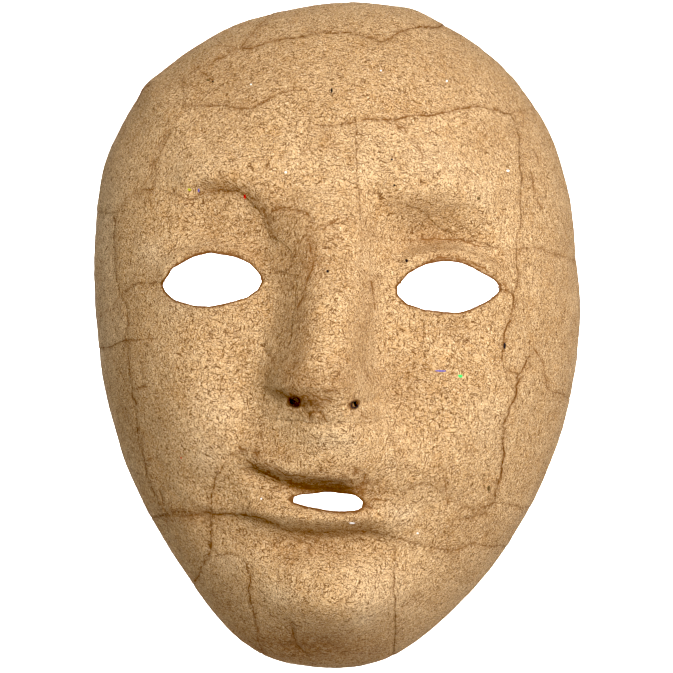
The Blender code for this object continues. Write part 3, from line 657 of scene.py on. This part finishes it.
def closed_sheet(name, cells, top, bottom, attributes):
    """A closed thin solid from the grid cells that are kept, with a front and a back surface."""
    columns, rows = cells.shape
    index = np.arange((columns + 1) * (rows + 1)).reshape(columns + 1, rows + 1)
    quads = np.stack([index[:-1, :-1], index[1:, :-1], index[1:, 1:], index[:-1, 1:]], axis=-1)[cells]
    edges = np.concatenate([quads[:, [side, (side + 1) % 4]] for side in range(4)])
    keys = edges[:, 0] * index.size + edges[:, 1]
    twins = edges[:, 1] * index.size + edges[:, 0]
    open_edges = edges[~np.isin(keys, twins)]
    used, compact = np.unique(quads, return_inverse=True)
    quads = compact.reshape(quads.shape)
    lookup = np.zeros(index.size, int)
    lookup[used] = np.arange(len(used))
    walls = lookup[open_edges]
    count = len(used)
    front = top.reshape(-1, 3)[used]
    back = bottom.reshape(-1, 3)[used]
    faces = np.concatenate([
        quads,
        quads[:, ::-1] + count,
        np.stack([walls[:, 1], walls[:, 0], walls[:, 0] + count, walls[:, 1] + count], axis=1),
    ])
    first, second, _, last = np.moveaxis(front[quads], 1, 0)
    if np.cross(second - first, last - first).sum(0) @ (front - back).mean(0) < 0:
        faces = faces[:, ::-1]
    doubled = {key: np.tile(values.reshape(-1)[used], 2) for key, values in attributes.items()}
    return make_object(name, np.concatenate([front, back]), faces, doubled)


# Lumps of dried paper: height, size and seed
LUMPS = [(0.30, 17.0, 11), (0.14, 6.5, 12), (0.06, 2.6, 13), (0.025, 1.1, 14)]


def paper_detail(points, side):
    """Uneven thickness and small lumps of dried paper."""
    return sum(height * noise(points, size, seed + side) for height, size, seed in LUMPS)


def outward(normals, hole):
    """The way out of the surface, turned straight forward close to the openings, which are cut square."""
    share = smooth(1 - hole / STRAIGHT_REACH)[..., None]
    turned = normals * (1 - share) + np.array([0.0, -1.0, 0.0]) * share
    return turned / np.linalg.norm(turned, axis=-1, keepdims=True)


def piece_grid(grid, solid, torn, line):
    """A piece's points and cells: all that is solid, and a ring of points drawn in to its torn line."""
    kept = solid | torn
    cells = kept[:-1, :-1] & kept[1:, :-1] & kept[1:, 1:] & kept[:-1, 1:]
    cells &= solid[:-1, :-1] | solid[1:, :-1] | solid[1:, 1:] | solid[:-1, 1:]
    return kept, cells, np.where(torn, line[..., 0], grid.x), np.where(torn, line[..., 1], grid.z)


def lay_sheets(grid, sheets, seams, creases, side, face_offset, seed):
    """Makes the torn sheets of one face of the wall, lapped over each other in the order given.

    side is 1 for the front of the mask and -1 for its inside.
    """
    marks = Marks(seams, creases, seed, BLIND_HOLES if side < 0 else ())
    regions = Regions(marks, sheets, side < 0)
    shape = grid.x.shape
    own_map, across_map, line_map, gap_map = regions.label(grid)
    holes = marks.points[marks.kind == "hole"]
    pieces = {}
    for rank, name in enumerate(sheets, 1):
        own = own_map == rank
        under = (across_map == rank) & (own_map > rank) & (gap_map < OVERLAP)
        torn = grow(own) & ~own & (own_map < rank) & (gap_map < TORN_REACH)
        kept, cells, all_x, all_z = piece_grid(grid, own | under, torn, line_map)
        x, z = all_x[kept], all_z[kept]
        flat_points = np.stack([x, z], axis=1)
        base = surface_points(x, z)
        base[grid.edge[kept], 1] = 0
        hole = nearest(holes, flat_points)[1]
        normal = outward(grid.normals[kept], hole) * side

        borders = (regions.left == rank) | (regions.right == rank)
        other = np.where(regions.left == rank, regions.right, regions.left)
        low = nearest(regions.lines[borders & (other < rank) & (other > HOLE)], flat_points)[1]
        high = nearest(regions.lines[borders & (other > rank)], flat_points)[1]
        high = np.where(under[kept], 0.0, high)

        index, _ = nearest(marks.points, flat_points)
        signed = np.sum((flat_points - marks.points[index]) * marks.normals[index], axis=1)
        groove = marks.depth[index] * np.exp(-(signed / marks.width[index]) ** 2)
        rim = grid.rim_distance[kept]
        in_hole = (marks.kind[index] == "hole") & (signed > 0)
        cut = np.where(in_hole, 0.0, np.minimum(hole, rim))
        detail = paper_detail(base, side)
        level = (face_offset + detail - groove + LIFT * np.exp(-low / LIFT_REACH)
                 - DIVE * (1 - smooth(high / DIVE_REACH)) - EDGE_ROUND * (1 - smooth(cut / EDGE_REACH)))
        beyond = smooth((low - OVERLAP - OVERLAP_MARGIN) / OVERLAP_FADE)
        floor = face_offset + detail - LAP_GAP - (SHEET - LAP_GAP) * beyond
        floor = np.minimum(floor, level - THINNEST)

        top, bottom = np.zeros((*shape, 3)), np.zeros((*shape, 3))
        top[kept] = base + normal * level[:, None]
        bottom[kept] = base + normal * floor[:, None]
        # Paste stains with painted shade and painted light, on the front only, plus each sheet's random
        # tone
        stain_and_shading = sum(rise(x, z, patch) for patch in PASTE_STAINS_AND_PAINTED_SHADING) if side > 0 else np.zeros(len(x))
        stain_and_shading = stain_and_shading + np.random.default_rng(seed + rank).uniform(-SHEET_TONE, SHEET_TONE)
        # Distance for the brown cut edge, which is partly painted shade of the cut walls and the nostril
        # holes
        darkened_edge_distance = np.minimum(np.where(in_hole, 0.0, hole), rim + RIM_TONE_GAP)
        measures = {"line": signed, "ink": marks.ink[index], "cut": darkened_edge_distance, "stain_and_shading": stain_and_shading}
        attributes = {}
        for key, values in measures.items():
            attributes[key] = np.zeros(shape)
            attributes[key][kept] = values
        pieces[name + "_sheet"] = closed_sheet(name + "_paper", cells, top, bottom, attributes)
    return pieces


def core_piece(grid):
    """The pressed pulp shell between the two faces."""
    marks = Marks({}, [], 0)
    regions = Regions(marks, {"shell": (0, 60)})
    shape = grid.x.shape
    own, _, line, _ = regions.label(grid)
    solid = own == 1
    _, cells, x, z = piece_grid(grid, solid, grow(solid) & ~solid, line)
    base = surface_points(x, z)
    base[grid.edge, 1] = 0
    detail = paper_detail(base, 1)[..., None]
    hole = nearest(marks.points, np.stack([x.ravel(), z.ravel()], axis=1))[1].reshape(shape)
    normal = outward(grid.normals, hole)
    top = base + normal * (CORE_TOP + detail)
    bottom = base + normal * (CORE_BOTTOM + detail)
    zero = np.zeros(shape)
    attributes = {"line": zero + NO_LINE, "ink": zero, "cut": zero, "stain_and_shading": zero}
    return closed_sheet("pulp_core", cells, top, bottom, attributes)


# ---------------------------------------------------------------- materials
class Weave:
    """A short way to write the nodes of one material."""

    def __init__(self, name):
        self.material = bpy.data.materials.new(name)
        self.material.use_nodes = True
        self.tree = self.material.node_tree
        self.shader = self.tree.nodes["Principled BSDF"]
        coordinates = self.node("ShaderNodeTexCoord").outputs["Object"]
        self.place = self.vector('SCALE', coordinates, Scale=1 / MM)

    def node(self, kind, settings=(), values=()):
        node = self.tree.nodes.new(kind)
        for key, value in dict(settings).items():
            setattr(node, key, value)
        for key, value in dict(values).items():
            if isinstance(value, bpy.types.NodeSocket):
                self.tree.links.new(value, node.inputs[key])
            else:
                node.inputs[key].default_value = value
        return node

    def vector(self, operation, first, second=(0.0, 0.0, 0.0), output=0, **values):
        settings = {"operation": operation}
        return self.node("ShaderNodeVectorMath", settings, {0: first, 1: second, **values}).outputs[output]

    def math(self, operation, first, second=0.0, clamp=False):
        settings = {"operation": operation, "use_clamp": clamp}
        return self.node("ShaderNodeMath", settings, {0: first, 1: second}).outputs[0]

    def plus(self, first, second):
        return self.math('ADD', first, second)

    def times(self, first, second, clamp=False):
        return self.math('MULTIPLY', first, second, clamp)

    def sway(self, value, amount):
        """Moves a random value to lie about zero, up to half the amount either way."""
        return self.times(self.math('SUBTRACT', value, 0.5), amount)

    def range(self, value, low, high, start=0.0, end=1.0):
        """A smooth change from start to end while the value goes from low to high."""
        return self.node("ShaderNodeMapRange", {"interpolation_type": 'SMOOTHSTEP'},
                         {0: value, 1: low, 2: high, 3: start, 4: end}).outputs[0]

    def noise(self, size, detail=2.0, shift=0.0, place=None):
        """A random value about 0.5, about size millimetres apart."""
        moved = self.vector('ADD', place or self.place, (shift, shift * 0.7, -shift))
        values = {"Vector": moved, "Scale": 1.0 / size, "Detail": detail}
        return self.node("ShaderNodeTexNoise", {}, values).outputs["Fac"]

    def mix(self, share, first, second):
        node = self.node("ShaderNodeMix", {"data_type": 'RGBA'})
        for index, value in ((0, share), (6, first), (7, second)):
            if isinstance(value, bpy.types.NodeSocket):
                self.tree.links.new(value, node.inputs[index])
            elif index == 0:
                node.inputs[index].default_value = value
            else:
                node.inputs[index].default_value = (*value, 1)
        return node.outputs[2]

    def attribute(self, name):
        return self.node("ShaderNodeAttribute", {"attribute_name": name}).outputs["Fac"]

    def bent(self, size, amount):
        """Places shifted smoothly about, so that straight strokes come out curved."""
        values = {"Vector": self.place, "Scale": 1.0 / size, "Detail": 0.0}
        field = self.node("ShaderNodeTexNoise", {}, values).outputs["Color"]
        middle = self.vector('SUBTRACT', field, (0.5, 0.5, 0.5))
        return self.vector('ADD', self.place, self.vector('SCALE', middle, Scale=amount))

    def strokes(self, place, turn, length, width, shift):
        """A random value drawn out in one direction, in strokes of about the given length and width."""
        turned = self.node("ShaderNodeVectorRotate", {"rotation_type": 'Y_AXIS'},
                           {"Vector": place, "Angle": math.radians(turn)}).outputs[0]
        drawn = self.vector('MULTIPLY', turned, (1 / length, 1 / width, 1 / width))
        return self.noise(1.0, 0.0, shift, drawn)

    def dot(self, x, z, half_width, half_height):
        """A speck pressed into the paper, also used for the painted shade over the nostrils: an ellipse in
        x and z with a ragged edge.
        """
        apart = self.vector('SUBTRACT', self.place, (x, 0.0, z))
        shaped = self.vector('MULTIPLY', apart, (1 / half_width, 0.0, 1 / half_height))
        reach = self.vector('LENGTH', shaped, output="Value")
        frayed = self.plus(reach, self.times(self.noise(*DOT_PATTERN), DOT_FRAY))
        return self.range(frayed, *DOT_FADE, 1.0, 0.0)

    def finish(self, colour, roughness):
        self.tree.links.new(colour, self.shader.inputs["Base Color"])
        self.shader.inputs["Roughness"].default_value = roughness
        return self.material


# The stain colour also serves as painted shade, the pale hair colour also as painted light, and the cut
# edge colour partly as painted shade
KRAFTS = {
    "light": (0.65, 0.43, 0.215), "mid": (0.55, 0.345, 0.158), "ruddy": (0.51, 0.285, 0.108),
    "dark": (0.22, 0.105, 0.034), "dark hair": (0.10, 0.036, 0.010), "pale hair and painted light": (0.88, 0.68, 0.43),
    "stain_and_shading": (0.22, 0.10, 0.028), "line": (0.17, 0.07, 0.020), "cut edge and shade": (0.13, 0.05, 0.014),
}

# Hairs in the paper: direction in degrees, length and width
HAIRS = [(8, 2.8, 0.25), (40, 2.2, 0.23), (83, 3.2, 0.26), (124, 2.0, 0.23), (158, 3.6, 0.27)]
HAIR_BEND_SIZE, HAIR_BEND = 3.4, 1.7
# Where random strokes count as a hair, from faintly to fully, and how strongly hairs colour the paper
DARK_HAIR_RANGE, DARK_HAIR_SHARE = (0.64, 0.735), 0.9
PALE_HAIR_RANGE, PALE_HAIR_SHARE = (0.34, 0.2), 0.3

# Random patterns in the paper: size in millimetres, detail and shift
PATTERNS = {
    "mottle": (9.0, 3.0, 5.0), "ruddy": (5.0, 3.0, 17.0), "patch": (2.2, 3.0, 9.0),
    "grain": (0.26, 1.0, 13.0), "salt": (0.45, 0.0, 33.0),
    "wander": (3.0, 1.0, 27.0), "fray": (0.6, 1.0, 29.0), "breaks": (3.0, 2.0, 21.0),
}
# Tints laid over the middle colour in turn: pattern, its values where the tint starts and ends to change,
# the tint's shares there, and its colour
TINTS = [
    ("mottle", 0.3, 0.7, 0.0, 1.0, "light"), ("ruddy", 0.5, 0.72, 0.0, 0.6, "ruddy"),
    ("patch", 0.5, 0.8, 0.0, 0.22, "dark"), ("grain", 0.25, 0.75, 0.5, 0.0, "dark"),
    ("salt", 0.66, 0.76, 0.0, 0.6, "pale hair and painted light"), ("salt", 0.34, 0.24, 0.0, 0.5, "dark hair"),
]
# How unevenly the paste stains and the painted shading take, and how a line breaks up, in the form of TINTS
STAIN_AND_SHADING_PATCHES = (0.3, 0.7, 0.75, 1.25)
LINE_BREAKS = (0.36, 0.58, 0.4, 1.35)
# Brown lines of the torn edges and the creases, along the creases partly painted shade: how far they wander
# and fray, the distances at which the line and the soft stain beside it fade, and the stain's share
WANDER, FRAY = 1.6, 0.5
LINE_FADE, HALO_FADE, HALO_SHARE = (0.09, 0.38), (0.2, 1.6), 0.34
# Brown edges of the openings and the rim: darker cut paper, partly painted shade of the cut walls and the
# nostril holes
EDGE_FADE, EDGE_SHARE, EDGE_RAGGED = (0.35, 1.15), 0.95, 1.6
# Small relief of the paper, with the shares of the grain and the hairs in it
BUMP_STRENGTH, BUMP_DISTANCE = 0.7, 0.00025
GRAIN_HEIGHT, HAIR_HEIGHT = 0.4, 0.2
PAPER_ROUGHNESS = 0.92

# Coloured specks pressed into the paper, and painted shade over the nostrils: x, z, half-width, half-height
# and colour
RED, BLUE, GREEN, YELLOW = (0.55, 0.01, 0.015), (0.12, 0.10, 0.35), (0.06, 0.55, 0.12), (0.42, 0.40, 0.03)
WHITE, BLACK, SOOT = (0.95, 0.93, 0.90), (0.012, 0.010, 0.012), (0.10, 0.055, 0.02)
SPECKS_AND_NOSTRIL_SHADE = [
    (-27.7, 43.5, 0.45, 0.8, RED), (-42.5, 45.3, 0.4, 0.65, BLUE), (-45.5, 45.5, 0.7, 0.55, YELLOW),
    (42, -11.5, 0.8, 0.65, GREEN), (35.7, -10, 2.0, 0.3, BLUE), (-1.1, 78.4, 0.4, 1.0, BLACK),
    (14.5, 85.5, 0.35, 0.3, WHITE), (35.8, 83, 0.3, 0.35, WHITE), (56, 54.5, 0.6, 0.4, WHITE),
    (-27, 80, 0.3, 0.3, WHITE), (-14.9, 51.5, 0.45, 0.35, WHITE), (9, -58.8, 1.0, 0.3, WHITE),
    (-0.8, 20.3, 0.55, 0.55, BLACK), (24, 24.5, 0.6, 0.6, BLACK), (18.5, 56.5, 0.42, 0.4, BLACK),
    (19.5, 48.2, 0.4, 0.42, BLACK), (52.5, -47.3, 0.6, 1.1, SOOT), (56, -1.5, 0.5, 1.2, BLACK),
    (46.5, 45, 0.7, 0.6, SOOT), (-41, 81.5, 0.8, 0.4, SOOT), (-39.4, 81, 0.4, 0.35, BLACK),
    (-46, -40, 0.3, 0.3, RED), (30, -62, 0.35, 0.3, WHITE), (-20, -52, 0.3, 0.3, WHITE),
    # shade over the nostrils
    (-10, -20.8, 2.0, 2.1, BLACK), (8.6, -21.2, 1.6, 1.5, BLACK),
]
# How the edges of the specks and of the painted nostril shade fray and fade
DOT_PATTERN, DOT_FRAY, DOT_FADE = (0.8, 1.0, 41.0), 0.5, (0.85, 1.3)


def paper_material(name, tone, specks_and_shade=()):
    """Recycled kraft paper; tone brightens or darkens it."""
    weave = Weave(name)
    kraft = {key: tuple(value * tone for value in colour) for key, colour in KRAFTS.items()}
    patterns = {key: weave.noise(*pattern) for key, pattern in PATTERNS.items()}
    patch = patterns["patch"]
    colour = kraft["mid"]
    for key, low, high, start, end, tint in TINTS:
        colour = weave.mix(weave.range(patterns[key], low, high, start, end), colour, kraft[tint])

    # Paste stains and painted shade darken the paper; below zero, painted light makes it paler
    stain_and_shading = weave.times(weave.attribute("stain_and_shading"), weave.range(patch, *STAIN_AND_SHADING_PATCHES))
    colour = weave.mix(weave.times(stain_and_shading, -1.0, True), colour, kraft["pale hair and painted light"])
    colour = weave.mix(weave.times(stain_and_shading, 1.0, True), colour, kraft["stain_and_shading"])

    bent = weave.bent(HAIR_BEND_SIZE, HAIR_BEND)
    dark_hairs, pale_hairs = 0.0, 0.0
    for step, (turn, length, width) in enumerate(HAIRS):
        field = weave.strokes(bent, turn, length, width, 7.0 * step)
        dark_hairs = weave.math('MAXIMUM', dark_hairs, weave.range(field, *DARK_HAIR_RANGE))
        pale_hairs = weave.math('MAXIMUM', pale_hairs, weave.range(field, *PALE_HAIR_RANGE))
    colour = weave.mix(weave.times(pale_hairs, PALE_HAIR_SHARE), colour, kraft["pale hair and painted light"])
    colour = weave.mix(weave.times(dark_hairs, DARK_HAIR_SHARE), colour, kraft["dark hair"])

    # Dark torn edges, and crease lines whose darkness is partly painted shade
    ragged = weave.plus(weave.sway(patterns["wander"], WANDER), weave.sway(patterns["fray"], FRAY))
    gap = weave.math('ABSOLUTE', weave.plus(weave.attribute("line"), ragged))
    ink = weave.times(weave.attribute("ink"), weave.range(patterns["breaks"], *LINE_BREAKS), True)
    line = weave.range(gap, *LINE_FADE, 1.0, 0.0)
    halo = weave.range(gap, *HALO_FADE, HALO_SHARE, 0.0)
    colour = weave.mix(weave.times(weave.math('MAXIMUM', line, halo), ink), colour, kraft["line"])

    # Brown cut edges, partly painted shade of the cut walls and the nostril holes
    cut = weave.plus(weave.attribute("cut"), weave.sway(patch, EDGE_RAGGED))
    colour = weave.mix(weave.range(cut, *EDGE_FADE, EDGE_SHARE, 0.0), colour, kraft["cut edge and shade"])
    # Coloured specks, and painted shade over the nostrils
    for x, z, half_width, half_height, dot_colour in specks_and_shade:
        colour = weave.mix(weave.dot(x, z, half_width, half_height), colour, dot_colour)

    hairs = weave.times(weave.math('SUBTRACT', pale_hairs, dark_hairs), HAIR_HEIGHT)
    height = weave.plus(weave.plus(weave.times(patterns["grain"], GRAIN_HEIGHT), hairs), patch)
    values = {"Strength": BUMP_STRENGTH, "Distance": BUMP_DISTANCE, "Height": height}
    bump = weave.node("ShaderNodeBump", {}, values).outputs[0]
    weave.tree.links.new(bump, weave.shader.inputs["Normal"])
    return weave.finish(colour, PAPER_ROUGHNESS)


# ---------------------------------------------------------------- stage, light and camera
FLOOR_DROP = 0.10
STAGE_HALF_WIDTH, STAGE_FRONT = 3.0, -3.0
WALL_START, WALL_BEND, WALL_HEIGHT, BEND_STEPS = 1.9, 0.5, 2.4, 12
STAGE_GREY, STAGE_WHITE, STAGE_ROUGHNESS = (0.76, 0.76, 0.76), (0.8, 0.8, 0.8), 0.8


def stage_material():
    weave = Weave("pale_stage")
    return weave.finish(weave.mix(weave.noise(40.0, 3.0), STAGE_GREY, STAGE_WHITE), STAGE_ROUGHNESS)


def build_stage():
    """A white floor that bends up into a white wall behind the mask."""
    floor_z = CAD_LOW.z - FLOOR_DROP
    profile = [(STAGE_FRONT, floor_z)]
    for step in range(BEND_STEPS + 1):
        turn = math.pi / 2 * step / BEND_STEPS
        rise_z = WALL_BEND * (1 - math.cos(turn))
        profile.append((WALL_START + WALL_BEND * math.sin(turn), floor_z + rise_z))
    profile.append((WALL_START + WALL_BEND, floor_z + WALL_HEIGHT))
    points = [(x, y, z) for y, z in profile for x in (-STAGE_HALF_WIDTH, STAGE_HALF_WIDTH)]
    faces = [(2 * i, 2 * i + 1, 2 * i + 3, 2 * i + 2) for i in range(len(profile) - 1)]
    mesh = bpy.data.meshes.new("pale_stage")
    mesh.from_pydata(points, [], faces)
    mesh.shade_smooth()
    stage = bpy.data.objects.new("pale_stage", mesh)
    stage.data.materials.append(stage_material())
    bpy.context.scene.collection.objects.link(stage)


# Light from all round: it grows between two heights of its direction, from one strength to another
SKY = (-0.3, 0.9, 0.432, 0.697)


def build_world():
    world = bpy.data.worlds.new("studio")
    bpy.context.scene.world = world
    world.use_nodes = True
    tree = world.node_tree
    background = tree.nodes["Background"]
    background.inputs["Color"].default_value = (1, 1, 1, 1)
    split = tree.nodes.new("ShaderNodeSeparateXYZ")
    tree.links.new(tree.nodes.new("ShaderNodeTexCoord").outputs["Generated"], split.inputs[0])
    strength = tree.nodes.new("ShaderNodeMapRange")
    for index, value in enumerate(SKY, 1):
        strength.inputs[index].default_value = value
    tree.links.new(split.outputs["Z"], strength.inputs[0])
    tree.links.new(strength.outputs[0], background.inputs["Strength"])


# Each light: where it stands, what it points at, its width and height in metres, its power in watts
# and its spread in degrees
LIGHTS = {
    "key": ((0.36, -0.90, 0.26), (0, 0, 0), 0.3, 0.3, 0.645, 36),
    "wall_wash": ((0.0, 1.3, 1.5), (0, 2.4, 0.0), 1.2, 0.5, 26.0, 60),
    "floor_wash": ((0.0, 1.0, 1.4), (0, 1.3, -0.18), 1.0, 0.8, 22.0, 60),
}


def build_lights():
    for name, (stand, target, width, height, power, spread) in LIGHTS.items():
        data = bpy.data.lights.new(name, 'AREA')
        data.shape = 'RECTANGLE'
        data.size, data.size_y, data.energy, data.spread = width, height, power, math.radians(spread)
        light = bpy.data.objects.new(name, data)
        light.location = stand
        light.rotation_euler = (Vector(target) - Vector(stand)).to_track_quat('-Z', 'Y').to_euler()
        bpy.context.scene.collection.objects.link(light)


CAMERA_DISTANCE = 1.15
AIM_X, AIM_Z = 2.5, 0.0
ROLL = math.radians(-1.5)
FRAME_WIDTH = 0.222
SENSOR_WIDTH = 36


def build_camera():
    data = bpy.data.cameras.new("camera")
    camera = bpy.data.objects.new("camera", data)
    bpy.context.scene.collection.objects.link(camera)
    camera.location = (AIM_X * MM, -CAMERA_DISTANCE, AIM_Z * MM)
    camera.rotation_euler = (math.pi / 2, ROLL, 0)
    data.sensor_width = SENSOR_WIDTH
    data.lens = SENSOR_WIDTH * CAMERA_DISTANCE / FRAME_WIDTH
    bpy.context.scene.camera = camera


BLACK_LEVEL, WHITE_LEVEL = 0.033, 0.867


def set_tone():
    """A plain camera response with a little contrast."""
    view = bpy.context.scene.view_settings
    view.view_transform = 'Standard'
    view.use_curve_mapping = True
    view.curve_mapping.black_level = (BLACK_LEVEL,) * 3
    view.curve_mapping.white_level = (WHITE_LEVEL,) * 3
    view.curve_mapping.update()


def main():
    set_tone()
    outer_grid = Grid(COLUMNS, ROWS)
    inner_grid = Grid(INNER_COLUMNS, INNER_ROWS)
    kraft = paper_material("kraft_paper", 1.0, SPECKS_AND_NOSTRIL_SHADE)
    pulp = paper_material("pressed_pulp", 0.8)
    lining = paper_material("lining_paper", 0.9)
    outer = lay_sheets(outer_grid, OUTER_SHEETS, OUTER_SEAMS, CREASES, 1, 0.0, OUTER_SEED)
    inner = lay_sheets(inner_grid, LINING_SHEETS, LINING_SEAMS, [], -1, -LINING_FACE, LINING_SEED)
    for pieces, material, slot in ((outer, kraft, "outer_paper"), (inner, lining, "lining_paper"),
                                   ({"core_shell": core_piece(inner_grid)}, pulp, "core_pulp")):
        for node, piece in pieces.items():
            piece.data.materials.append(material)
            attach(piece, "root")
            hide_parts(node)
    build_stage()
    build_world()
    build_lights()
    build_camera()


main()
